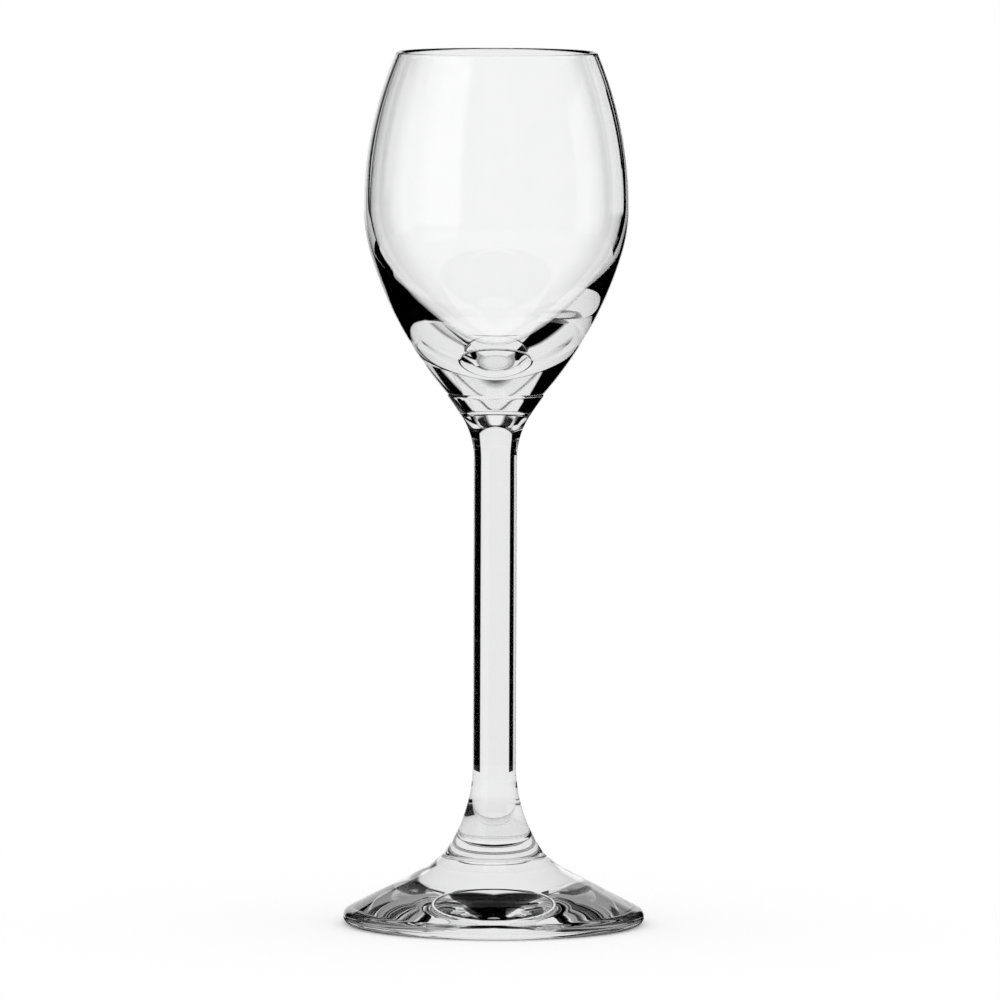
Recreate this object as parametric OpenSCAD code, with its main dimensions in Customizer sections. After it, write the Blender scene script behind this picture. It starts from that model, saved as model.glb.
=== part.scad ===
// Stemmed cordial glass in clear glass, made of three pieces hot-fused end to end:
// a blown bowl, a drawn stem with two flared ends, and a pressed foot.
// Millimetres. The origin is the middle of the plane that the foot rests on, with +Z up the axis.

/* [Foot] */
// Outside diameter of the foot
foot_d = 51.1; // [46:0.1:58]
// Radius of the foot's rounded outer edge
foot_edge_r = 1.4; // [0.8:0.1:2]
// Slope of the foot's top, up from level
cone_angle = 27.6; // [22:0.2:32]
// Width of the flat ring under the foot that the glass rests on
rest_w = 2; // [1:0.25:4]
// Depth of the hollow under the middle of the foot
hollow_h = 2; // [0.8:0.1:3]

/* [Joint of stem and foot] */
// Diameter of the joint
foot_joint_d = 18.4; // [16.4:0.1:21]
// Lean of the side at the joint, out from the axis
foot_joint_angle = 45; // [40:0.5:54]
// Radius of the hollow curve that runs from the stem into the foot
fillet_r = 12; // [8:0.25:15]

/* [Stem] */
// Length of the stem between its two fused joints
stem_l = 78.85; // [60:0.05:110]
// Diameter of the straight shaft
stem_d = 7.35; // [6:0.05:9]
// Lean at which the long curve from the shaft meets the tighter one at the foot
flare_angle = 31; // [26:0.5:34]
// Radius of the hollow curve under the stem's head
neck_r = 13; // [9:0.1:16]
// Lean of the head's side, out from the axis
neck_angle = 34.5; // [30:0.5:40]

/* [Joint of stem and bowl] */
// Diameter of the bowl's bottom at the joint
bowl_joint_d = 16.6; // [15.4:0.1:19]
// How far the side of the stem's head would stand out from the bowl's bottom, with a sharp edge
head_ledge = 0.2; // [0:0.05:0.4]
// Radius of the rounded edge of the stem's head
head_edge_r = 0.4; // [0.15:0.05:0.6]

/* [Fused edges] */
// Radius of the other edges that form the fine groove round each joint
seam_r = 0.15; // [0.05:0.05:0.3]

/* [Bowl] */
// Height of the bowl from its joint to the rim
bowl_h = 57.7; // [50:0.1:66]
// Outside diameter of the rim
rim_d = 34.2; // [30:0.1:40]
// Outside diameter of the bowl at its widest
belly_d = 44.8; // [42:0.1:50]
// Height of the widest place above the joint
belly_h = 31.4; // [27:0.1:37]
// Radius of the shoulder below the widest place
shoulder_r = 27.3; // [22:0.1:36]
// Angle that the shoulder turns before the side runs down to the joint
shoulder_angle = 16.8; // [10:0.2:22]

/* [Inside of the bowl] */
// Thickness of the wall at the rim
rim_wall = 0.9; // [0.6:0.05:1.4]
// Thickness of the wall at the widest place
belly_wall = 1.2; // [0.8:0.05:1.8]
// Pull of the upright wall on the curve of the bottom, down from the widest place
wall_pull = 13; // [9:0.5:16]
// Pull of the level bottom on that curve, out from the axis
bottom_pull = 7; // [4:0.5:10]
// Thickness of the glass under the middle of the hollow
bottom_t = 5.2; // [3.6:0.1:8]

/* [Hidden] */
$fn = 180;

// Furthest that a straight run of an arc may lie from the true curve
curve_error = 0.006;
// Number of straight runs in the curve of the bowl's bottom
bottom_runs = 48;
glass_colour = [0.9, 0.94, 0.95, 0.45];

foot_r = foot_d / 2;
foot_joint_r = foot_joint_d / 2;
stem_r = stem_d / 2;
bowl_joint_r = bowl_joint_d / 2;
rim_r = rim_d / 2;
belly_r = belly_d / 2;

// Outlines are lists of [distance from the axis, height].

// Direction at angle a, measured from straight outwards
function heading(a) = [cos(a), sin(a)];

// Direction a quarter turn to the left of v
function left(v) = [-v[1], v[0]];

function reversed(list) = [for (i = [len(list) - 1:-1:0]) list[i]];

// Number of straight runs that keep an arc within the curve error
function runs(radius, sweep) = max(2, ceil(abs(sweep) / (2 * acos(1 - curve_error / radius))));

// Arc about a centre, from one angle to another
function arc(centre, radius, from, to) =
    let (n = runs(radius, to - from))
    [for (i = [0:n]) centre + radius * heading(from + (to - from) * i / n)];

// Angle between the direction in which an arc leaves p and the straight line to its end q
function bend(p, direction, q) = atan2(cross(direction, q - p), direction * (q - p));

// Angle at the centre of an arc that is as long as the given length
function angle_along(radius, length) = length / radius * 180 / PI;

// Arc that leaves p in the given direction and ends at q, stopping short of q by a length
function arc_to(p, direction, q, short) =
    let (half = bend(p, direction, q))
    let (radius = norm(q - p) / (2 * sin(half)))
    let (sweep = 2 * half - angle_along(radius, short))
    let (n = runs(abs(radius), sweep))
    [for (i = [0:n])
        let (a = sweep * i / n)
        p + radius * (sin(a) * direction + (1 - cos(a)) * left(direction))];

// How far a rounded corner reaches along each of its sides, where the outline turns by an angle
function corner_reach(radius, turn) = radius * tan(abs(turn) / 2);

// Rounded corner at p, where an outline that runs at one angle turns to another
function corner(p, radius, from, to) =
    let (side = to > from ? 1 : -1)
    let (start = p - corner_reach(radius, to - from) * heading(from))
    let (centre = start + side * radius * left(heading(from)))
    arc(centre, radius, from - side * 90, to - side * 90);

// Smooth curve from p to q, pulled towards p_pull as it leaves and q_pull as it arrives
function pulled(p, p_pull, q_pull, q, n) =
    [for (i = [0:n])
        let (t = i / n, s = 1 - t)
        s * s * s * p + 3 * s * s * t * p_pull + 3 * s * t * t * q_pull + t * t * t * q];

module turned(outline) {
    color(glass_colour)
        rotate_extrude()
            polygon(outline);
}

// Foot: a low cone with a rounded edge, hollow underneath, resting on a flat ring
edge_centre = [foot_r - foot_edge_r, foot_edge_r];
rest_inner_r = edge_centre[0] - rest_w;
hollow_r = (pow(rest_inner_r, 2) + pow(hollow_h, 2)) / (2 * hollow_h);
hollow_angle = asin(rest_inner_r / hollow_r);

// The fillet touches the cone of the foot, and has the joint's lean where it crosses the joint.
cone_top = edge_centre + foot_edge_r * heading(90 - cone_angle);
fillet_centre_r = foot_joint_r + fillet_r * cos(foot_joint_angle);
fillet_foot_r = fillet_centre_r - fillet_r * sin(cone_angle);
fillet_foot_z = cone_top[1] + (cone_top[0] - fillet_foot_r) * tan(cone_angle);
fillet_centre = [fillet_centre_r, fillet_foot_z + fillet_r * cos(cone_angle)];
foot_joint = fillet_centre - fillet_r * heading(foot_joint_angle);
foot_h = foot_joint[1];

module foot() {
    reach = corner_reach(seam_r, 90 - foot_joint_angle);
    top_angle = foot_joint_angle + angle_along(fillet_r, reach);
    turned(concat(
        arc([0, hollow_h - hollow_r], hollow_r, 90, 90 - hollow_angle),
        arc(edge_centre, foot_edge_r, -90, 90 - cone_angle),
        arc(fillet_centre, fillet_r, 270 - cone_angle, 180 + top_angle),
        reversed(corner(foot_joint, seam_r, 0, foot_joint_angle - 90)),
        [[0, foot_h]]
    ));
}

// Stem: a shaft that flares to the foot below and to the bowl above
bowl_z = foot_h + stem_l;
stem_head = [bowl_joint_r + head_ledge, bowl_z];
fillet_gain = fillet_r * (cos(flare_angle) - cos(foot_joint_angle));
flare_r = (foot_joint_r - stem_r - fillet_gain) / (1 - cos(flare_angle));
flare_centre = fillet_centre + (flare_r - fillet_r) * heading(flare_angle);
neck_straight = (stem_head[0] - stem_r - neck_r * (1 - cos(neck_angle))) / tan(neck_angle);
neck_centre = [stem_r + neck_r, bowl_z - neck_straight - neck_r * sin(neck_angle)];

module stem() {
    reach = corner_reach(seam_r, 90 + foot_joint_angle);
    base_angle = foot_joint_angle - angle_along(fillet_r, reach);
    turned(concat(
        [[0, foot_h]],
        corner(foot_joint, seam_r, 0, 90 + foot_joint_angle),
        arc(fillet_centre, fillet_r, 180 + base_angle, 180 + flare_angle),
        arc(flare_centre, flare_r, 180 + flare_angle, 180),
        arc(neck_centre, neck_r, 180, 180 - neck_angle),
        corner(stem_head, head_edge_r, 90 - neck_angle, 180),
        [[0, bowl_z]]
    ));
}

// Bowl, outside: an arc from the rim to the widest place, the shoulder, and an arc down to the joint
lip_r = rim_wall / 2;
lip_centre = [rim_r - lip_r, bowl_h - lip_r];
wall_rise = lip_centre[1] - belly_h;

// Radius of an arc that is upright at the widest place and passes through the middle of the lip
function wall_r(at_belly) =
    let (inset = at_belly - lip_centre[0])
    (inset * inset + wall_rise * wall_rise) / (2 * inset);

// Both sides of the wall touch the round of the lip.
outer_r = wall_r(belly_r - lip_r) + lip_r;
outer_angle = asin(wall_rise / (outer_r - lip_r));
inner_belly_r = belly_r - belly_wall;
inner_r = wall_r(inner_belly_r + lip_r) - lip_r;
inner_angle = asin(wall_rise / (inner_r + lip_r));

shoulder_centre = [belly_r - shoulder_r, belly_h];
shoulder_end = shoulder_centre + shoulder_r * heading(-shoulder_angle);
bowl_joint = [bowl_joint_r, 0];
side_start = -90 - shoulder_angle;
side_end = side_start + 2 * bend(shoulder_end, heading(side_start), bowl_joint);

module bowl() {
    reach = corner_reach(seam_r, 180 + side_end);
    outside = concat(
        arc([belly_r - outer_r, belly_h], outer_r, outer_angle, 0),
        arc(shoulder_centre, shoulder_r, 0, -shoulder_angle),
        arc_to(shoulder_end, heading(side_start), bowl_joint, reach),
        corner(bowl_joint, seam_r, side_end, -180)
    );
    inside = concat(
        arc([inner_belly_r - inner_r, belly_h], inner_r, inner_angle, 0),
        pulled(
            [inner_belly_r, belly_h],
            [inner_belly_r, belly_h - wall_pull],
            [bottom_pull, bottom_t],
            [0, bottom_t],
            bottom_runs
        )
    );
    lip = arc(lip_centre, lip_r, outer_angle, 180 + inner_angle);
    translate([0, 0, bowl_z])
        turned(concat([[0, 0]], reversed(outside), lip, inside));
}

foot();
stem();
bowl();
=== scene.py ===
# %% [markdown]
# # A cordial glass
# The object is a small stemmed glass for cordial: a blown bowl, a drawn stem and a pressed foot, fused hot.
# Clear glass has hardly any colour of its own. What the eye sees is the room, bent by the curves, so this
# lesson is about exact curves, and about where the light and the dark around the glass stand.
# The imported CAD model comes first, because it fixes the place and the size of every piece.

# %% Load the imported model
import math
import bpy
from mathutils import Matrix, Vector


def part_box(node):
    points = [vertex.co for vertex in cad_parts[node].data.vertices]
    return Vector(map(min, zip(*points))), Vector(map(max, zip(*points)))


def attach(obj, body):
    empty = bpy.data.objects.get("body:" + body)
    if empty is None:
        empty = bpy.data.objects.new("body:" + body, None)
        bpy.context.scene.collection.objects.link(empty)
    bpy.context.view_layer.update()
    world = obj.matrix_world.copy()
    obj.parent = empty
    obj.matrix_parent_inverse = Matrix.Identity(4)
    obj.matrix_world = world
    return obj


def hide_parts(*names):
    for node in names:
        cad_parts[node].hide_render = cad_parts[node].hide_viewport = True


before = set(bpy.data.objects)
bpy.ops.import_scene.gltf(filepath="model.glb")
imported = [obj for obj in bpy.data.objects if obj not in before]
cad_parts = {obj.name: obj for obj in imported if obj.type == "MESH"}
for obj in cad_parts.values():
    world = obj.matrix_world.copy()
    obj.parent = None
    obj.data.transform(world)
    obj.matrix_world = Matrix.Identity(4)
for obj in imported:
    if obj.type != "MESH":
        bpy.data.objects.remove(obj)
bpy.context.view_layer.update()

to_mm = 1000
print("CAD nodes:", ", ".join(sorted(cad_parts)))

# %% [markdown]
# ## Curves before meshes
# Every piece of a turned or blown glass is round about one axis, so a half outline says all of its shape.
# The outline could be drawn by hand as a Bezier curve, but the CAD model is made of arcs that meet smoothly,
# and glass shows every kink as a false ring. So the same arcs are worked out here from the same sizes, only
# with many more points. A point is a distance from the axis and a height, in millimetres.

# %% Arcs, corners and smooth curves
longest_run = 0.5
corner_runs = 10


def heading(angle):
    """Direction at an angle in degrees, measured from straight outwards"""
    turn = math.radians(angle)
    return Vector((math.cos(turn), math.sin(turn)))


def left_of(direction):
    return Vector((-direction.y, direction.x))


def cross(a, b):
    return a.x * b.y - a.y * b.x


def run_count(length, least=4):
    return max(least, math.ceil(length / longest_run))


def arc(centre, radius, start, end, least=4):
    runs = run_count(radius * math.radians(abs(end - start)), least)
    return [centre + radius * heading(start + (end - start) * i / runs) for i in range(runs + 1)]


def corner_reach(radius, turn):
    return radius * math.tan(math.radians(abs(turn)) / 2)


def corner(point, radius, start, end):
    """Rounded corner where an outline that runs at one angle turns to another"""
    side = 1 if end > start else -1
    first = point - corner_reach(radius, end - start) * heading(start)
    centre = first + side * radius * left_of(heading(start))
    return arc(centre, radius, start - side * 90, end - side * 90, corner_runs)


def straight(start, end):
    runs = run_count((end - start).length, 1)
    return [start.lerp(end, i / runs) for i in range(runs + 1)]


def pulled(start, start_pull, end_pull, end, runs):
    """Cubic Bezier curve, the smooth bottom of the bowl"""
    points = []
    for i in range(runs + 1):
        done = i / runs
        rest = 1 - done
        first_half = rest**3 * start + 3 * rest * rest * done * start_pull
        points.append(first_half + 3 * rest * done * done * end_pull + done**3 * end)
    return points


print("longest run of an outline, mm:", longest_run)

# %% [markdown]
# ## The foot's outline
# The foot is pressed from a hot gather: a low cone with a rounded edge, standing on a narrow flat ring.
# Underneath it is slightly hollow, so the glass does not rock. The hollow matters to the eye as well:
# it bends the view of the table, and makes the dark oval that is seen in the middle of the foot.
# A run that is marked as fused lies on the joint with the stem.

# %% Outline of the foot
foot_r = 25.55
foot_edge_r = 1.4
cone_angle = 27.6
rest_w = 2.0
hollow_h = 2.0
foot_joint_r = 9.2
foot_joint_angle = 45.0
fillet_r = 12.0
seam_r = 0.15
edge_runs = 24

edge_centre = Vector((foot_r - foot_edge_r, foot_edge_r))
rest_inner_r = edge_centre.x - rest_w
hollow_r = (rest_inner_r**2 + hollow_h**2) / (2 * hollow_h)
hollow_angle = math.degrees(math.asin(rest_inner_r / hollow_r))

cone_top = edge_centre + foot_edge_r * heading(90 - cone_angle)
fillet_centre_r = foot_joint_r + fillet_r * math.cos(math.radians(foot_joint_angle))
fillet_foot_r = fillet_centre_r - fillet_r * math.sin(math.radians(cone_angle))
fillet_foot_z = cone_top.y + (cone_top.x - fillet_foot_r) * math.tan(math.radians(cone_angle))
fillet_centre = Vector((fillet_centre_r, fillet_foot_z + fillet_r * math.cos(math.radians(cone_angle))))
foot_joint = fillet_centre - fillet_r * heading(foot_joint_angle)
foot_h = foot_joint.y


def along(radius, length):
    """Angle in degrees of an arc of that length"""
    return math.degrees(length / radius)


foot_reach = corner_reach(seam_r, 90 - foot_joint_angle)
foot_side_end = foot_joint_angle + along(fillet_r, foot_reach)
foot_free = (
    arc(Vector((0, hollow_h - hollow_r)), hollow_r, 90, 90 - hollow_angle)
    + straight(Vector((rest_inner_r, 0)), Vector((edge_centre.x, 0)))
    + arc(edge_centre, foot_edge_r, -90, 90 - cone_angle, edge_runs)
    + straight(cone_top, Vector((fillet_foot_r, fillet_foot_z)))
    + arc(fillet_centre, fillet_r, 270 - cone_angle, 180 + foot_side_end)
    + corner(foot_joint, seam_r, 0, foot_joint_angle - 90)[::-1]
)
foot_weld = Vector((foot_joint_r - corner_reach(seam_r, 90 + foot_joint_angle), foot_h))
foot_outline = [
    (foot_free + straight(foot_free[-1], foot_weld), False),
    (straight(foot_weld, Vector((0, foot_h))), True),
]
print("foot height, mm:", round(foot_h, 3), "points:", sum(len(part) for part, fused in foot_outline))

# %% [markdown]
# ## The stem's outline
# The stem is drawn out of hot glass: a straight shaft that flares at both ends. Its long lower flare runs
# into the same hollow curve as the foot, so the eye sees one sweep. At the top a short head carries the bowl.
# It stands out a little from the bowl's bottom, with a rounded edge.

# %% Outline of the stem
stem_l = 78.85
stem_r = 3.675
flare_angle = 31.0
neck_r = 13.0
neck_angle = 34.5
bowl_joint_r = 8.3
head_ledge = 0.2
head_edge_r = 0.4

bowl_z = foot_h + stem_l
stem_head = Vector((bowl_joint_r + head_ledge, bowl_z))
fillet_gain = fillet_r * (math.cos(math.radians(flare_angle)) - math.cos(math.radians(foot_joint_angle)))
flare_r = (foot_joint_r - stem_r - fillet_gain) / (1 - math.cos(math.radians(flare_angle)))
flare_centre = fillet_centre + (flare_r - fillet_r) * heading(flare_angle)
neck_rise = neck_r * (1 - math.cos(math.radians(neck_angle)))
neck_straight = (stem_head.x - stem_r - neck_rise) / math.tan(math.radians(neck_angle))
neck_z = bowl_z - neck_straight - neck_r * math.sin(math.radians(neck_angle))
neck_centre = Vector((stem_r + neck_r, neck_z))

stem_reach = corner_reach(seam_r, 90 + foot_joint_angle)
stem_side_start = foot_joint_angle - along(fillet_r, stem_reach)
base_corner = corner(foot_joint, seam_r, 0, 90 + foot_joint_angle)
head_corner = corner(stem_head, head_edge_r, 90 - neck_angle, 180)
neck_arc = arc(neck_centre, neck_r, 180, 180 - neck_angle)
stem_free = (
    base_corner
    + arc(fillet_centre, fillet_r, 180 + stem_side_start, 180 + flare_angle)
    + arc(flare_centre, flare_r, 180 + flare_angle, 180)
    + straight(Vector((stem_r, flare_centre.y)), Vector((stem_r, neck_z)))
    + neck_arc
    + straight(neck_arc[-1], head_corner[0])
    + head_corner
)
stem_outline = [
    (straight(Vector((0, foot_h)), base_corner[0]), True),
    (stem_free, False),
    (straight(head_corner[-1], Vector((0, bowl_z))), True),
]
print("stem from", round(foot_h, 3), "to", round(bowl_z, 3), "mm, flare radius", round(flare_r, 2))

# %% [markdown]
# ## The bowl's outline
# The bowl is blown: a thin wall drawn in towards the rim, and a thick lens of solid glass at the bottom.
# The rim is melted round in a flame, so the lip is a small circle that both walls touch.
# Inside, one smooth curve runs from the widest place to the middle of the bottom. Two arcs would do on a
# plain mug, but through clear glass the change of curvature between them shows as a ring.

# %% Outline of the bowl
bowl_h = 57.7
rim_r = 17.1
belly_r = 22.4
belly_h = 31.4
shoulder_r = 27.3
shoulder_angle = 16.8
rim_wall = 0.9
belly_wall = 1.2
wall_pull = 13.0
bottom_pull = 7.0
bottom_t = 5.2
bottom_runs = 100
lip_runs = 16

lip_r = rim_wall / 2
lip_centre = Vector((rim_r - lip_r, bowl_h - lip_r))
wall_rise = lip_centre.y - belly_h


def wall_r(at_belly):
    """Radius of an arc that is upright at the widest place and passes through the middle of the lip"""
    inset = at_belly - lip_centre.x
    return (inset**2 + wall_rise**2) / (2 * inset)


outer_r = wall_r(belly_r - lip_r) + lip_r
outer_angle = math.degrees(math.asin(wall_rise / (outer_r - lip_r)))
inner_belly_r = belly_r - belly_wall
inner_r = wall_r(inner_belly_r + lip_r) - lip_r
inner_angle = math.degrees(math.asin(wall_rise / (inner_r + lip_r)))

shoulder_centre = Vector((belly_r - shoulder_r, belly_h))
shoulder_end = shoulder_centre + shoulder_r * heading(-shoulder_angle)
bowl_joint = Vector((bowl_joint_r, 0))
side_heading = heading(-90 - shoulder_angle)
side_chord = bowl_joint - shoulder_end
side_half = math.atan2(cross(side_heading, side_chord), side_heading.dot(side_chord))
side_r = side_chord.length / (2 * math.sin(side_half))
side_end = -90 - shoulder_angle + 2 * math.degrees(side_half)
side_sweep = 2 * math.degrees(side_half) - along(side_r, corner_reach(seam_r, 180 + side_end))
print("wall radius outside and inside, mm:", round(outer_r, 2), round(inner_r, 2))

# %% Join the bowl's curves
side_centre = shoulder_end + side_r * left_of(side_heading)
side_start = -180 - shoulder_angle if side_r > 0 else -shoulder_angle
side_arc = arc(side_centre, abs(side_r), side_start, side_start + side_sweep)
bowl_outside = (
    arc(Vector((belly_r - outer_r, belly_h)), outer_r, outer_angle, 0)
    + arc(shoulder_centre, shoulder_r, 0, -shoulder_angle)
    + side_arc
    + corner(bowl_joint, seam_r, side_end, -180)
)
bowl_lip = arc(lip_centre, lip_r, outer_angle, 180 + inner_angle, lip_runs)
bowl_inside = arc(Vector((inner_belly_r - inner_r, belly_h)), inner_r, inner_angle, 0) + pulled(
    Vector((inner_belly_r, belly_h)),
    Vector((inner_belly_r, belly_h - wall_pull)),
    Vector((bottom_pull, bottom_t)),
    Vector((0, bottom_t)),
    bottom_runs,
)
bowl_lift = Vector((0, bowl_z))
bowl_free = [point + bowl_lift for point in bowl_outside[::-1] + bowl_lip + bowl_inside]
bowl_weld = head_corner[-1]
bowl_outline = [
    (straight(bowl_lift, bowl_weld), True),
    (straight(bowl_weld, bowl_free[0]) + bowl_free, False),
]
print("bowl side radius, mm:", round(side_r, 2), "rim at", round(bowl_z + bowl_h, 3))

# %% [markdown]
# ## Worked glass
# Glass that was hot and soft a moment ago is never quite true. Tools, moulds and the pull of the flame leave
# a ripple of a few thousandths of a millimetre, stronger near a weld, and wiping leaves a film that is hardly
# there. Modelled waves would need millions of faces, so the ripple is a bump that reads Object coordinates.
# All three pieces share it, each with its own stretch, so it is a node group: it puts out only a height and
# a mask, and the Principled shader stays in each material.

# %% Helpers for node trees
def add_node(tree, kind, settings=None, **sockets):
    """New node with its properties set and its named inputs filled or linked"""
    node = tree.nodes.new(kind)
    for name, value in (settings or {}).items():
        setattr(node, name, value)
    for name, value in sockets.items():
        fill(tree, node.inputs[name.replace("_", " ")], value)
    return node


def fill(tree, socket, value):
    if isinstance(value, bpy.types.NodeSocket):
        tree.links.new(value, socket)
    else:
        socket.default_value = value


def calc(tree, operation, a, b=None, clamp=False):
    """Math node of the shader or geometry kind"""
    node = add_node(tree, "ShaderNodeMath", {"operation": operation, "use_clamp": clamp})
    fill(tree, node.inputs[0], a)
    if b is not None:
        fill(tree, node.inputs[1], b)
    return node.outputs[0]


def add_group(name, kind, inputs, outputs):
    """Empty node group with named sockets"""
    tree = bpy.data.node_groups.new(name, kind)
    for label, socket in inputs:
        tree.interface.new_socket(name=label, in_out="INPUT", socket_type=socket)
    for label, socket in outputs:
        tree.interface.new_socket(name=label, in_out="OUTPUT", socket_type=socket)
    return tree, tree.nodes.new("NodeGroupInput").outputs, tree.nodes.new("NodeGroupOutput").inputs


print("node helpers ready")

# %% Ripple and film of worked glass
worked, given, result = add_group(
    "worked_glass",
    "ShaderNodeTree",
    [
        ("Place", "NodeSocketVector"),
        ("Waves", "NodeSocketVector"),
        ("Weld Height", "NodeSocketFloat"),
        ("Weld Reach", "NodeSocketFloat"),
        ("Weld Gain", "NodeSocketFloat"),
        ("Film Scale", "NodeSocketFloat"),
    ],
    [("Height", "NodeSocketFloat"), ("Film", "NodeSocketFloat")],
)
stretched = add_node(worked, "ShaderNodeVectorMath", {"operation": "MULTIPLY"})
worked.links.new(given["Place"], stretched.inputs[0])
worked.links.new(given["Waves"], stretched.inputs[1])
ripple = add_node(
    worked, "ShaderNodeTexNoise", Vector=stretched.outputs[0], Scale=1.0, Detail=1.5, Roughness=0.4
)
noise_middle = 0.5
level = add_node(worked, "ShaderNodeSeparateXYZ", Vector=given["Place"]).outputs["Z"]
off_weld = calc(worked, "DIVIDE", calc(worked, "SUBTRACT", level, given["Weld Height"]), given["Weld Reach"])
off_squared = calc(worked, "MULTIPLY", off_weld, off_weld)
near_weld = calc(worked, "EXPONENT", calc(worked, "MULTIPLY", off_squared, -1.0))
gain = calc(worked, "ADD", calc(worked, "MULTIPLY", near_weld, given["Weld Gain"]), 1.0)
swing = calc(worked, "SUBTRACT", ripple.outputs["Fac"], noise_middle)
worked.links.new(calc(worked, "MULTIPLY", swing, gain), result["Height"])
film = add_node(worked, "ShaderNodeTexNoise", Vector=given["Place"], Scale=given["Film Scale"], Detail=4.0)
film_mask = add_node(worked, "ShaderNodeMapRange", Value=film.outputs["Fac"])
film_mask.inputs["From Min"].default_value = 0.42
film_mask.inputs["From Max"].default_value = 0.72
worked.links.new(film_mask.outputs["Result"], result["Film"])
print("group", worked.name, "with", len(worked.nodes), "nodes")

# %% [markdown]
# ## Three kinds of the same glass
# Blown, drawn and pressed glass differ in their ripple. A blown wall has slow soft waves, a drawn rod has
# long streaks along its length, and a pressed foot has rings that follow the turning of the tool. The melt is
# one and the same: an index of refraction of 1.52, full transmission, and only a trace of grey in the colour.
# A glass shader with flat values would look like a perfect lens, which no hand-finished glass is.

# %% Blown, drawn and pressed glass
clear_tint = (0.996, 0.998, 0.997, 1.0)
film_tint = (0.984, 0.988, 0.987, 1.0)
glass_ior = 1.52
film_scale = 240.0
# Sockets of a colour Mix node, whose names repeat for every kind of value
mix_share = 0
mix_first = 6
mix_second = 7
mix_result = 2


def worked_material(name, waves, depth, weld_height, weld_reach, weld_gain):
    material = bpy.data.materials.new(name)
    material.use_nodes = True
    tree = material.node_tree
    shader = tree.nodes["Principled BSDF"]
    shader.inputs["IOR"].default_value = glass_ior
    shader.inputs["Roughness"].default_value = 0.0
    shader.inputs["Transmission Weight"].default_value = 1.0
    place = add_node(tree, "ShaderNodeTexCoord").outputs["Object"]
    surface = add_node(
        tree,
        "ShaderNodeGroup",
        {"node_tree": worked},
        Place=place,
        Waves=waves,
        Weld_Height=weld_height,
        Weld_Reach=weld_reach,
        Weld_Gain=weld_gain,
        Film_Scale=film_scale,
    )
    bump = add_node(tree, "ShaderNodeBump", Height=surface.outputs["Height"], Strength=1.0, Distance=depth)
    tint = add_node(tree, "ShaderNodeMix", {"data_type": "RGBA"})
    fill(tree, tint.inputs[mix_share], surface.outputs["Film"])
    fill(tree, tint.inputs[mix_first], clear_tint)
    fill(tree, tint.inputs[mix_second], film_tint)
    tree.links.new(tint.outputs[mix_result], shader.inputs["Base Color"])
    tree.links.new(bump.outputs["Normal"], shader.inputs["Normal"])
    return material


MM = 0.001
bowl_weld_z = bowl_z * MM
foot_weld_z = foot_h * MM
blown_glass = worked_material(
    "blown_glass",
    waves=(90, 90, 60),
    depth=0.02 * MM,
    weld_height=bowl_weld_z,
    weld_reach=6 * MM,
    weld_gain=2.0,
)
drawn_glass = worked_material(
    "drawn_glass",
    waves=(260, 260, 25),
    depth=0.008 * MM,
    weld_height=bowl_weld_z,
    weld_reach=4 * MM,
    weld_gain=4.0,
)
pressed_glass = worked_material(
    "pressed_glass",
    waves=(80, 80, 320),
    depth=0.02 * MM,
    weld_height=foot_weld_z,
    weld_reach=3 * MM,
    weld_gain=2.0,
)
print("glass materials:", blown_glass.name, drawn_glass.name, pressed_glass.name)

# %% [markdown]
# ## What a fused joint looks like
# Where two pieces are melted together there is no surface any more, and light goes straight on. The pieces
# are still separate and closed, so each has a face on the joint. With a glass material, two such faces would
# act like a crack full of air. So they get a material with an alpha of 0, and light passes as if it were one
# melt.

# %% Fused joint
fused_joint = bpy.data.materials.new("fused_joint")
fused_joint.use_nodes = True
joint_shader = fused_joint.node_tree.nodes["Principled BSDF"]
joint_shader.inputs["Base Color"].default_value = clear_tint
joint_shader.inputs["Alpha"].default_value = 0.0
print("joint material:", fused_joint.name)

# %% [markdown]
# ## A lathe in Geometry Nodes
# A turned shape follows one rule: each point of the outline goes round the axis. The Spin operator or the
# Screw modifier would do it too, but a small node tree shows the rule itself. A grid has one row for each
# point of the outline and one column for each step round. Every grid point looks up its outline point by row,
# gets its angle by column, and moves there. The first and last columns meet, and so does each row on the
# axis, so points that coincide are merged. The angle runs backwards, which makes the faces point outwards.

# %% Build the lathe
half_step = 0.5
lathe, given, result = add_group(
    "lathe",
    "GeometryNodeTree",
    [
        ("Outline", "NodeSocketGeometry"),
        ("Steps", "NodeSocketInt"),
        ("Weld Distance", "NodeSocketFloat"),
        ("Glass", "NodeSocketMaterial"),
        ("Joint", "NodeSocketMaterial"),
    ],
    [("Piece", "NodeSocketGeometry")],
)
rows = add_node(lathe, "GeometryNodeAttributeDomainSize", Geometry=given["Outline"]).outputs["Point Count"]
columns = calc(lathe, "ADD", given["Steps"], 1.0)
grid = add_node(lathe, "GeometryNodeMeshGrid", Vertices_X=rows, Vertices_Y=columns)
index = add_node(lathe, "GeometryNodeInputIndex").outputs[0]
row = calc(lathe, "FLOOR", calc(lathe, "DIVIDE", calc(lathe, "ADD", index, half_step), columns))
column = calc(lathe, "SUBTRACT", index, calc(lathe, "MULTIPLY", row, columns))
angle = calc(lathe, "MULTIPLY", calc(lathe, "DIVIDE", column, given["Steps"]), -2 * math.pi)
print("rows, columns and angles:", len(lathe.nodes), "nodes")

# %% Look up, turn and place every grid point
nearly_whole = 0.99


def look_up(kind, field):
    """Value of a field at the outline point of the grid point's row"""
    lookup = add_node(
        lathe, "GeometryNodeSampleIndex", {"data_type": kind}, Geometry=given["Outline"], Index=row
    )
    lathe.links.new(field, lookup.inputs["Value"])
    return lookup.outputs[0]


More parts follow.
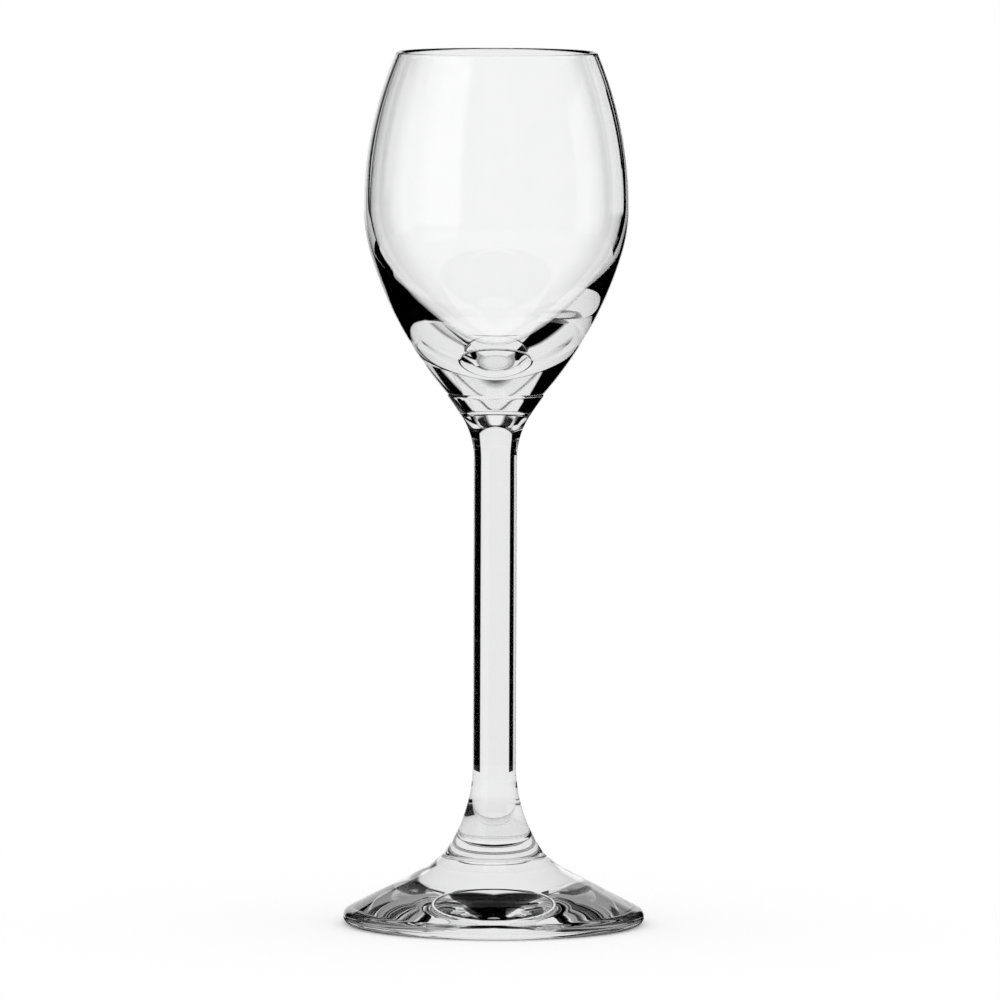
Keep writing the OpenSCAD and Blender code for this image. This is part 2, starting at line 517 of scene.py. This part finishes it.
found = look_up("FLOAT_VECTOR", add_node(lathe, "GeometryNodeInputPosition").outputs[0])
mark = add_node(lathe, "GeometryNodeInputNamedAttribute", {"data_type": "FLOAT"}, Name="fused").outputs[0]
outline_point = add_node(lathe, "ShaderNodeSeparateXYZ", Vector=found).outputs
across = calc(lathe, "MULTIPLY", outline_point["X"], calc(lathe, "COSINE", angle))
back = calc(lathe, "MULTIPLY", outline_point["X"], calc(lathe, "SINE", angle))
turned_point = add_node(lathe, "ShaderNodeCombineXYZ", X=across, Y=back, Z=outline_point["Z"])
kept_mark = add_node(
    lathe,
    "GeometryNodeStoreNamedAttribute",
    {"data_type": "FLOAT", "domain": "POINT"},
    Geometry=grid.outputs["Mesh"],
    Name="fused",
    Value=look_up("FLOAT", mark),
)
placed = add_node(
    lathe, "GeometryNodeSetPosition", Geometry=kept_mark.outputs[0], Position=turned_point.outputs[0]
)
welded = add_node(
    lathe, "GeometryNodeMergeByDistance", Geometry=placed.outputs[0], Distance=given["Weld Distance"]
)
smooth = add_node(lathe, "GeometryNodeSetShadeSmooth", Geometry=welded.outputs[0])
real = add_node(lathe, "GeometryNodeRealizeInstances", Geometry=smooth.outputs[0])
glassed = add_node(lathe, "GeometryNodeSetMaterial", Geometry=real.outputs[0], Material=given["Glass"])
on_joint = calc(lathe, "GREATER_THAN", mark, nearly_whole)
jointed = add_node(
    lathe, "GeometryNodeSetMaterial", Geometry=glassed.outputs[0], Selection=on_joint, Material=given["Joint"]
)
lathe.links.new(jointed.outputs[0], result["Piece"])
print("tree", lathe.name, "with", len(lathe.nodes), "nodes")

# %% [markdown]
# ## Turn the three pieces
# The outline becomes a chain of points in a mesh, with a mark on those that lie on a joint. The lathe runs as
# a modifier, its inputs are set by their identifiers, and the result is taken as a plain mesh. A piece is
# then an ordinary object at the origin, and it takes the place of its own node of the CAD model.

# %% From outline to piece
turn_steps = 256
weld_distance = 1e-6
smallest_run = 1e-5
identifiers = {
    item.name: item.identifier for item in lathe.interface.items_tree if item.in_out == "INPUT"
}


def outline_mesh(name, outline):
    points, marks = [], []
    for part, fused in outline:
        for point in part:
            if points and (point - points[-1]).length < smallest_run:
                marks[-1] = 1.0 if fused else marks[-1]
                continue
            points.append(point)
            marks.append(1.0 if fused else 0.0)
    mesh = bpy.data.meshes.new(name)
    runs = [(i, i + 1) for i in range(len(points) - 1)]
    mesh.from_pydata([(point.x * MM, 0, point.y * MM) for point in points], runs, [])
    mesh.attributes.new("fused", "FLOAT", "POINT").data.foreach_set("value", marks)
    return mesh


def turn_piece(name, outline, glass):
    blank = bpy.data.objects.new(name + "_outline", outline_mesh(name + "_outline", outline))
    bpy.context.scene.collection.objects.link(blank)
    turning = blank.modifiers.new("lathe", "NODES")
    turning.node_group = lathe
    turning[identifiers["Steps"]] = turn_steps
    turning[identifiers["Weld Distance"]] = weld_distance
    turning[identifiers["Glass"]] = glass
    turning[identifiers["Joint"]] = fused_joint
    graph = bpy.context.evaluated_depsgraph_get()
    mesh = bpy.data.meshes.new_from_object(blank.evaluated_get(graph), depsgraph=graph)
    mesh.name = name
    blank.modifiers.clear()
    bpy.data.objects.remove(blank)
    piece = bpy.data.objects.new(name, mesh)
    bpy.context.scene.collection.objects.link(piece)
    return piece


print("steps round the axis:", turn_steps)

# %% Bowl, stem and foot
pieces = {
    "bowl": turn_piece("bowl_blown", bowl_outline, blown_glass),
    "stem": turn_piece("stem_drawn", stem_outline, drawn_glass),
    "foot": turn_piece("foot_pressed", foot_outline, pressed_glass),
}
for node, piece in pieces.items():
    heights = [corner_point[2] for corner_point in piece.bound_box]
    lowest = (min(heights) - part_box(node)[0][2]) * to_mm
    highest = (max(heights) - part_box(node)[1][2]) * to_mm
    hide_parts(node)
    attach(piece, "root")
    faces = len(piece.data.polygons)
    print(piece.name, faces, "faces, off the CAD by mm:", round(lowest, 3), round(highest, 3))

# %% [markdown]
# ## What the glass sees
# A clear glass shows its surroundings in three ways: bent through solid glass, as in the stem, seen through
# both walls of the bowl, and mirrored. Plain lit planes would look the same to all three, and then the bowl,
# with four surfaces that each take about four percent of the light, would come out darker than the stem. In
# the picture it is lighter. The Light Path node counts how often a ray was bent and mirrored, so the white is
# set for each way by itself. No real studio does that, but it gives the picture's tones.

# %% Masks for rays and for soft edges
level_solid = 0.88
level_bowl = 1.0
solid_bends = 2
half_count = 0.5


def above(tree, value, limit, soft):
    """1 where the value is over the limit and 0 where it is under, with a soft edge"""
    return calc(tree, "DIVIDE", calc(tree, "SUBTRACT", value, limit - soft / 2), soft, clamp=True)


def below(tree, value, limit, soft):
    return calc(tree, "SUBTRACT", 1.0, above(tree, value, limit, soft))


def between(tree, value, low, high, soft):
    return both(tree, above(tree, value, low, soft), below(tree, value, high, soft))


def both(tree, *masks):
    product = masks[0]
    for mask in masks[1:]:
        product = calc(tree, "MULTIPLY", product, mask)
    return product


def either(tree, *masks):
    largest = masks[0]
    for mask in masks[1:]:
        largest = calc(tree, "MAXIMUM", largest, mask)
    return largest


def opposite(tree, mask):
    return calc(tree, "SUBTRACT", 1.0, mask)


def ray_masks(tree):
    """Light Path, with masks for rays through both walls of the bowl and for rays mirrored in the glass"""
    path = add_node(tree, "ShaderNodeLightPath").outputs
    crossed = calc(tree, "GREATER_THAN", path["Transmission Depth"], solid_bends + half_count)
    turned = calc(tree, "GREATER_THAN", path["Glossy Depth"], half_count)
    return path, crossed, turned


def turned_times(tree, path, least, most):
    """1 for rays that were mirrored in the glass so many times"""
    return both(
        tree,
        calc(tree, "GREATER_THAN", path["Glossy Depth"], least - half_count),
        calc(tree, "LESS_THAN", path["Glossy Depth"], most + half_count),
    )


def pale_level(tree, crossed):
    """How white the studio shows in the glass"""
    return calc(tree, "ADD", calc(tree, "MULTIPLY", crossed, level_bowl - level_solid), level_solid)


print("white through solid glass and through the bowl:", level_solid, level_bowl)

# %% [markdown]
# ## The table
# The glass stands on a plain pale table, and the soft shadow of the foot stays on it. The camera sees a
# little extra light from it, so that the open table is as white as the background. Through the glass it shows
# as a plain pale glowing disc with a painted shadow in the middle, where the foot would keep the light off.
# Rays mirrored in the glass see it only under the middle of the foot. Farther out they pass through it to the
# world below, which is dimmer at the sides.

# %% Table top
table_r = 0.14
table_drop = 0.00002
table_rounds = 128


def ring_angles(count):
    return [2 * math.pi * i / count for i in range(count)]


table_rim = [(table_r * math.cos(a), table_r * math.sin(a), -table_drop) for a in ring_angles(table_rounds)]
table_mesh = bpy.data.meshes.new("table_top")
table_mesh.from_pydata(table_rim, [], [list(range(table_rounds))])
table = bpy.data.objects.new("table_top", table_mesh)
bpy.context.scene.collection.objects.link(table)
print("table radius, m:", table_r)

# %% Table paint
table_grey = (0.9, 0.9, 0.9, 1)
white = (1, 1, 1, 1)
camera_lift = 0.12
# Painted shadow of the foot: how much darker the table glows under it, for rays through the glass
foot_shade = 0.08
foot_shade_r = 0.035
foot_shade_soft = 0.05
mirrored_r = 0.018
mirrored_soft = 0.004

table_paint = bpy.data.materials.new("table_paint")
table_paint.use_nodes = True
tree = table_paint.node_tree
paint = tree.nodes["Principled BSDF"]
paint.inputs["Base Color"].default_value = table_grey
paint.inputs["Roughness"].default_value = 0.6
paint.inputs["Specular IOR Level"].default_value = 0.0
paint.inputs["Emission Color"].default_value = white
path, crossed, turned = ray_masks(tree)
tree.links.new(calc(tree, "MULTIPLY", path["Is Camera Ray"], camera_lift), paint.inputs["Emission Strength"])
from_middle = add_node(tree, "ShaderNodeVectorMath", {"operation": "LENGTH"})
tree.links.new(add_node(tree, "ShaderNodeTexCoord").outputs["Object"], from_middle.inputs[0])
# Painted shadow: the glow seen through the glass is darker under the foot
painted_shadow_mask = below(tree, from_middle.outputs["Value"], foot_shade_r, foot_shade_soft)
glow_with_painted_shadow = calc(tree, "SUBTRACT", pale_level(tree, crossed), calc(tree, "MULTIPLY", painted_shadow_mask, foot_shade))
through_glass = add_node(tree, "ShaderNodeEmission", Strength=both(tree, glow_with_painted_shadow, path["Is Transmission Ray"]))
by_glass = either(tree, path["Is Transmission Ray"], path["Is Glossy Ray"])
paint_mix = add_node(tree, "ShaderNodeMixShader", Fac=by_glass)
tree.links.new(paint.outputs[0], paint_mix.inputs[1])
tree.links.new(through_glass.outputs[0], paint_mix.inputs[2])
past_foot = above(tree, from_middle.outputs["Value"], mirrored_r, mirrored_soft)
open_mix = add_node(tree, "ShaderNodeMixShader", Fac=both(tree, turned, past_foot))
tree.links.new(paint_mix.outputs[0], open_mix.inputs[1])
tree.links.new(add_node(tree, "ShaderNodeBsdfTransparent").outputs[0], open_mix.inputs[2])
tree.links.new(open_mix.outputs[0], tree.nodes["Material Output"].inputs["Surface"])
table_mesh.materials.append(table_paint)
print("table paint with", len(tree.nodes), "nodes")

# %% [markdown]
# ## The studio
# A clear glass in front of white would vanish. What draws it are the bright and the dark parts around it: a
# white cloth behind, a dark gap on each side, pale walls beyond, a tall soft lamp at the front left, and
# darkness at the front. The lower bowl bends the view so far that its left side shows the dark front, and its
# right side shows the lamp. All this could be built of many planes. One round wall that glows by angle and
# height does the same, and only the glass sees it. Some parts show only to rays of one kind, such as those
# that were mirrored once. They are set for the picture's view, and do not copy a real room.

# %% Angles and heights on the studio wall
studio_r = 0.5
studio_low = -0.06
studio_high = 0.6
studio_sides = 96

wall_points = [
    (studio_r * math.sin(a), studio_r * math.cos(a), z)
    for z in (studio_low, studio_high)
    for a in ring_angles(studio_sides)
]
wall_faces = []
for side in range(studio_sides):
    following = (side + 1) % studio_sides
    wall_faces.append((side, following, studio_sides + following, studio_sides + side))
studio_mesh = bpy.data.meshes.new("studio_wall")
studio_mesh.from_pydata(wall_points, [], wall_faces)
studio = bpy.data.objects.new("studio_wall", studio_mesh)
bpy.context.scene.collection.objects.link(studio)


def hide_from_picture(thing):
    """Only the glass sees it, by reflection or by looking through"""
    thing.visible_camera = False
    thing.visible_diffuse = False
    thing.visible_shadow = False


hide_from_picture(studio)
studio_glow = bpy.data.materials.new("studio_glow")
studio_glow.use_nodes = True
tree = studio_glow.node_tree
tree.nodes.clear()
spot = add_node(tree, "ShaderNodeSeparateXYZ", Vector=add_node(tree, "ShaderNodeTexCoord").outputs["Object"])
degrees = 180 / math.pi
bearing = calc(tree, "MULTIPLY", calc(tree, "ARCTAN2", spot.outputs["X"], spot.outputs["Y"]), degrees)
swing_out = calc(tree, "ABSOLUTE", bearing)
height = spot.outputs["Z"]
path, crossed, turned = ray_masks(tree)
print("studio wall radius, m:", studio_r)

# %% The cloth behind the glass
cloth_left = -32
cloth_right = 30.5
cloth_side_soft = 1.5
cloth_top = 0.52
cloth_top_soft = 0.04
droop_per_degree = 0.006
once_droop = 0.12
once_shift = 4.5

once = both(tree, turned_times(tree, path, 1, 1), opposite(tree, crossed))
drooped = calc(tree, "ADD", height, calc(tree, "MULTIPLY", swing_out, droop_per_degree))
drooped = calc(tree, "ADD", drooped, calc(tree, "MULTIPLY", once, once_droop))
right_end = calc(tree, "ADD", bearing, calc(tree, "MULTIPLY", once, once_shift))
cloth = both(
    tree,
    above(tree, bearing, cloth_left, cloth_side_soft),
    below(tree, right_end, cloth_right, cloth_side_soft),
    below(tree, drooped, cloth_top, cloth_top_soft),
)
print("cloth from", cloth_left, "to", cloth_right, "degrees")

# %% Walls and lamp
front_bearing = 104
front_soft = 4
right_bearing = 65
right_top = 0.31
turned_shift = 5
wall_edge_soft = 0.03


def wall_part(first, last, side_soft, bottom=None, top=None, edge_soft=wall_edge_soft):
    """Part of the wall between two bearings in degrees and, where given, two heights in metres"""
    part = between(tree, bearing, first, last, side_soft)
    if bottom is not None:
        part = both(tree, part, above(tree, height, bottom, edge_soft))
    if top is not None:
        part = both(tree, part, below(tree, height, top, edge_soft))
    return part


lamp = wall_part(first=-150, last=-97, side_soft=3, bottom=-0.01, top=0.5)
left_wall = wall_part(first=-99, last=-73, side_soft=3, top=0.3, edge_soft=0.1)
left_high = wall_part(first=-76, last=-62, side_soft=3, bottom=0.12, top=0.3)
left_low = wall_part(first=-75, last=-51, side_soft=3, top=0.075, edge_soft=0.01)
left_low = both(tree, left_low, opposite(tree, turned))
right_near = wall_part(first=30, last=50, side_soft=2, bottom=0.075, top=0.25)
right_far = wall_part(first=49, last=61, side_soft=2, bottom=0.075, top=0.42)
right_high = both(tree, either(tree, right_near, right_far), either(tree, crossed, turned))
right_start = calc(tree, "SUBTRACT", bearing, calc(tree, "MULTIPLY", turned, turned_shift))
right_wall = both(
    tree,
    above(tree, right_start, right_bearing, front_soft),
    below(tree, bearing, front_bearing, front_soft),
    below(tree, height, right_top, wall_edge_soft),
)
walls = either(tree, left_wall, left_high, left_low, right_wall, right_high, lamp)
print("studio wall so far with", len(tree.nodes), "nodes")

# %% The front and the far sides
front_low_top = 0.06
front_low_soft = 0.04
far_front_bearing = 150
far_front_soft = 8
far_side_bearing = 60
far_side_soft = 3

straight_on = opposite(tree, turned)
front_side = above(tree, swing_out, front_bearing, front_soft)
front_low = both(tree, front_side, below(tree, height, front_low_top, front_low_soft), straight_on)
far_front = both(tree, above(tree, swing_out, far_front_bearing, far_front_soft), straight_on)
far_side = both(tree, crossed, above(tree, swing_out, far_side_bearing, far_side_soft))
not_echo = opposite(tree, both(tree, crossed, turned))
surroundings = both(tree, either(tree, walls, front_low, far_side, far_front), not_echo)
print("front from", front_bearing, "degrees on each side")

# %% What the glass shows and what it mirrors
most_turns = 8
fill_bearing = 70
fill_soft = 20
mirror_left = -24
mirror_right = 15
mirror_soft = 3
gleam_left = -147
gleam_left_soft = 2
gleam_right = -114
gleam_right_soft = 14
gleam = 0.7


def few_turns(tree, path, crossed):
    """1 for all but the rays that ran round and round inside the glass"""
    return either(tree, crossed, turned_times(tree, path, 0, most_turns))


def front_fill(tree, path, crossed, swing_out):
    """White in front of the glass, for rays that crossed the bowl and were mirrored once"""
    in_front = above(tree, swing_out, fill_bearing, fill_soft)
    return both(tree, crossed, turned_times(tree, path, 1, 1), in_front)


def glass_view(tree, path, crossed, seen):
    """How bright the glass shows what is seen through it"""
    return both(
        tree, seen, few_turns(tree, path, crossed), pale_level(tree, crossed), path["Is Transmission Ray"]
    )


seen = either(tree, cloth, surroundings, front_fill(tree, path, crossed, swing_out))
shown = glass_view(tree, path, crossed, seen)
cloth_mirrored = both(tree, cloth, between(tree, bearing, mirror_left, mirror_right, mirror_soft))
lamp_mirrored = both(
    tree,
    above(tree, bearing, gleam_left, gleam_left_soft),
    below(tree, bearing, gleam_right, gleam_right_soft),
    gleam,
)
outside_rays = opposite(tree, path["Is Transmission Ray"])
mirrored = both(tree, either(tree, cloth_mirrored, lamp_mirrored), outside_rays)
shine = add_node(tree, "ShaderNodeEmission", Strength=either(tree, shown, mirrored))
tree.links.new(shine.outputs[0], add_node(tree, "ShaderNodeOutputMaterial").inputs["Surface"])
studio_mesh.materials.append(studio_glow)
print("studio wall with", len(tree.nodes), "nodes")

# %% [markdown]
# ## Cards close to the glass
# The thin wall of the bowl bends the view much less than the stem does, so the dark gaps of the studio do not
# reach its edge. A photographer stands black cards close behind the sides. These are hidden from the camera,
# and each kind stands only in the way of rays that were mirrored in the glass a certain number of times and
# did not cross the bowl: the black cards after one mirroring, the echo cards and the nets after three or
# more. A net takes only part of the light. One small white card, for two mirrorings, lightens a streak in
# the lower left of the bowl. Cards that act on all rays would be more real, but each would change other parts
# of the picture too.

# %% Paint of the cards
echo_turns = 3
endless_turns = 50
whole_cover = 1.0
net_cover = 0.6


def card_paint(name, least, most, cover, glow=0.0):
    """Stands only in the way of rays that were mirrored so many times and did not cross the bowl"""
    material = bpy.data.materials.new(name)
    material.use_nodes = True
    tree = material.node_tree
    shader = tree.nodes["Principled BSDF"]
    shader.inputs["Base Color"].default_value = (0, 0, 0, 1)
    shader.inputs["Emission Color"].default_value = white
    shader.inputs["Emission Strength"].default_value = glow
    shader.inputs["Roughness"].default_value = 1.0
    shader.inputs["Specular IOR Level"].default_value = 0.0
    path, crossed, turned = ray_masks(tree)
    in_the_way = both(tree, turned_times(tree, path, least, most), opposite(tree, crossed), cover)
    tree.links.new(in_the_way, shader.inputs["Alpha"])
    return material


card_black = card_paint("card_black", 1, 1, whole_cover)
card_echo = card_paint("card_echo", echo_turns, endless_turns, whole_cover)
card_net = card_paint("card_net", echo_turns, endless_turns, net_cover)
card_white = card_paint("card_white", 2, 2, whole_cover, level_solid)
print("card paints:", card_black.name, card_echo.name, card_net.name, card_white.name)

# %% Cards beside the bowl and the foot
card_step = 8
card_r = 0.12
echo_r = 0.122
fill_r = 0.05


def stand_card(name, material, distance, lower, upper):
    """Upright card between two heights; each is given as a first bearing, a last bearing and a height"""
    panels = max(1, math.ceil(abs(lower[1] - lower[0]) / card_step))
    points = []
    for first, last, level in (lower, upper):
        for i in range(panels + 1):
            a = math.radians(first + (last - first) * i / panels)
            points.append((distance * math.sin(a), distance * math.cos(a), level))
    mesh = bpy.data.meshes.new(name)
    mesh.from_pydata(points, [], [(i, i + 1, panels + 2 + i, panels + 1 + i) for i in range(panels)])
    mesh.materials.append(material)
    card = bpy.data.objects.new(name, mesh)
    bpy.context.scene.collection.objects.link(card)
    hide_from_picture(card)
    return card


cards = [
    stand_card("card_left_low", card_black, card_r, (-42, -21, 0.043), (-42, -22, 0.083)),
    stand_card("card_left_turn", card_black, card_r, (-45, -41, 0.1), (-36, -30, 0.128)),
    stand_card("card_left", card_black, card_r, (-36, -30, 0.128), (-35.5, -29.5, 0.165)),
    stand_card("card_right_foot", card_black, card_r, (38, 44, 0.074), (32, 43, 0.083)),
    stand_card("card_right_low", card_black, card_r, (32, 43, 0.083), (30, 38, 0.119)),
    stand_card("card_right", card_black, card_r, (30, 36, 0.119), (15, 26, 0.158)),
    stand_card("card_right_edge", card_black, card_r, (34.5, 40, 0.127), (34.5, 40, 0.15)),
    stand_card("card_echo_left", card_echo, echo_r, (-35, -7, 0.075), (-35, -7, 0.165)),
    stand_card("card_echo_right", card_echo, echo_r, (7, 35, 0.075), (7, 35, 0.165)),
    stand_card("card_fill", card_white, fill_r, (33, 40, 0.1085), (33, 40, 0.114)),
    stand_card("net_left", card_net, card_r, (-140, -32, 0.012), (-140, -32, 0.06)),
    stand_card("net_right", card_net, card_r, (32, 140, 0.012), (32, 140, 0.06)),
]
print("cards:", ", ".join(card.name for card in cards))

# %% [markdown]
# ## The world
# The camera and the table get plain white light from all around. Through the glass, only what the round wall
# leaves open of the world shows: white below, dark above, and a pale lamp straight overhead. For mirrored
# rays the white below is dimmer at the sides. Rays that crossed the bowl and were mirrored see white high up
# at the back, and those mirrored once also low at the front. A picture of a real room would be an easier
# world, but its light and dark would lie elsewhere.

# %% White for the camera and the table
low_dim = 0.42
low_rise = -4
low_soft = 4
lit_side = 38
steep_rise = -45
overhead_rise = 76
world_soft = 6
back_bottom = 20
back_top = 74
back_soft = 8
back_side = 75
fill_rise = 0
fill_rise_soft = 10

room = bpy.data.worlds.new("plain_white")
bpy.context.scene.world = room
room.use_nodes = True
tree = room.node_tree
tree.nodes.clear()
direction = add_node(tree, "ShaderNodeTexCoord").outputs["Generated"]
toward = add_node(tree, "ShaderNodeSeparateXYZ", Vector=direction).outputs
rise = calc(tree, "MULTIPLY", calc(tree, "ARCSINE", toward["Z"]), degrees)
azimuth = calc(tree, "MULTIPLY", calc(tree, "ARCTAN2", toward["X"], toward["Y"]), degrees)
swing_out = calc(tree, "ABSOLUTE", azimuth)
path, crossed, turned = ray_masks(tree)
under_cloth = below(tree, swing_out, lit_side, world_soft)
steep = both(tree, turned_times(tree, path, 2, 2), below(tree, rise, steep_rise, world_soft))
lit = either(tree, under_cloth, steep, opposite(tree, turned))
lit = calc(tree, "ADD", calc(tree, "MULTIPLY", lit, 1 - low_dim), low_dim)
low = both(tree, below(tree, rise, low_rise, low_soft), lit)
overhead = above(tree, rise, overhead_rise, world_soft)
echo = both(tree, crossed, turned)
plain_rays = both(tree, either(tree, low, overhead), opposite(tree, echo))
back_rise = between(tree, rise, back_bottom, back_top, back_soft)
over_back = both(tree, echo, back_rise, below(tree, swing_out, back_side, world_soft))
low_fill = both(
    tree, front_fill(tree, path, crossed, swing_out), below(tree, rise, fill_rise, fill_rise_soft)
)
shown = glass_view(tree, path, crossed, either(tree, plain_rays, over_back, low_fill))
plain_white = either(tree, path["Is Camera Ray"], path["Is Diffuse Ray"])
light = add_node(tree, "ShaderNodeBackground", Color=white)
tree.links.new(either(tree, shown, plain_white), light.inputs["Strength"])
tree.links.new(light.outputs[0], add_node(tree, "ShaderNodeOutputWorld").inputs["Surface"])
print("world with", len(tree.nodes), "nodes")

# %% [markdown]
# ## Long ways through the glass
# Light can run a long way inside solid glass before it leaves. Cycles stops after a dozen bounces unless it
# is told otherwise, and a ray that it stops stays black, so all the limits that matter here are higher.

# %% Bounces
most_bounces = 48
paths = bpy.context.scene.cycles
paths.max_bounces = most_bounces
paths.glossy_bounces = most_bounces
paths.transmission_bounces = most_bounces
paths.transparent_max_bounces = most_bounces
print("bounces:", most_bounces)

# %% [markdown]
# ## The camera
# A fit to the picture puts the camera about two metres away and a little above the rim. The lens is long, so
# the sides hardly converge. The foot's and the rim's ovals give the height and the tilt, and the outline
# gives the rest.

# %% Camera at the picture's place
eye = Vector((0, -1.957, 0.2278))
aim_z = 0.074
pixels_per_mm = 5.908
roll = 0.22
sensor = 36
farthest = 100

lens = bpy.data.cameras.new("camera")
camera = bpy.data.objects.new("camera", lens)
bpy.context.scene.collection.objects.link(camera)
tilt = math.atan2(eye.z - aim_z, -eye.y)
distance = math.hypot(eye.y, eye.z - aim_z)
camera.location = eye
camera.rotation_euler = (math.pi / 2 - tilt, -math.radians(roll), 0)
lens.sensor_width = sensor
lens.lens = sensor * pixels_per_mm * distance
lens.shift_x = 0.0012
lens.shift_y = -0.0113
lens.clip_end = farthest
bpy.context.scene.camera = camera
bpy.context.scene.view_settings.view_transform = "Standard"
print("lens, mm:", round(lens.lens, 1), "tilt, degrees:", round(math.degrees(tilt), 2))
